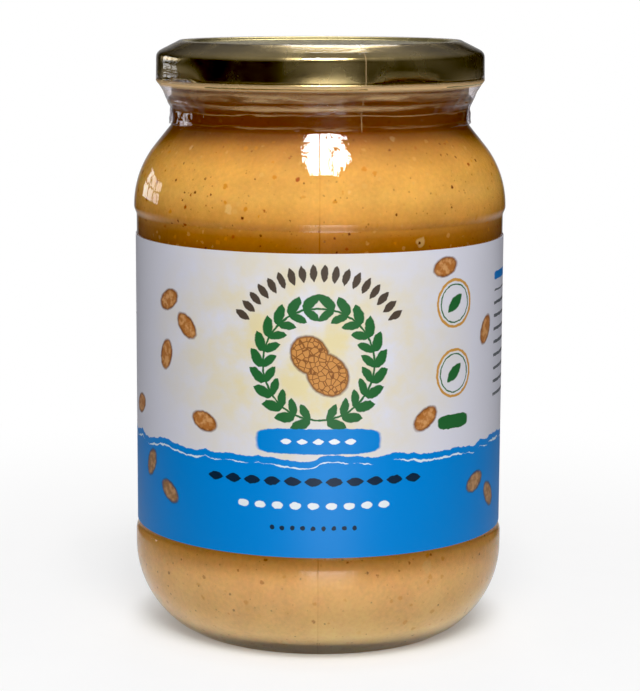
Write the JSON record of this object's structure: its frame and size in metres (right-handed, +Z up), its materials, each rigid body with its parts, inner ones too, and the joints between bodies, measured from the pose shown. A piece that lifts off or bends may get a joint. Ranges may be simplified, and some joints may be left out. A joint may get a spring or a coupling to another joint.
{
  "type": "peanut butter jar",
  "caption": "Shut glass jar filled with peanut butter, with a gold twist-off lid under a clear shrink band and a plain wrapped paper label.",
  "frame": {"origin": "centre of the ring that the jar stands on, at the height of the surface under it", "axes": "+Z up along the jar's axis; the front, as pictured, faces -Y; +X to the viewer's right"},
  "size_m": [0.0828, 0.0828, 0.1314],
  "materials": {
    "glass": "clear, smooth, blow-moulded",
    "filling": "tan peanut butter with specks of skin and bits of nut, pressed against the glass",
    "tinplate": "gold-lacquered tinplate, glossy",
    "label_paper": "coated paper, printed with a pale field over a blue band",
    "film": "thin clear shrink film, glossy and wrinkled"
  },
  "bodies": {
    "root": {"jar": "glass", "peanut_butter": "filling", "lid": "tinplate", "label": "label_paper", "shrink_band": "film"}
  },
  "joints": []
}
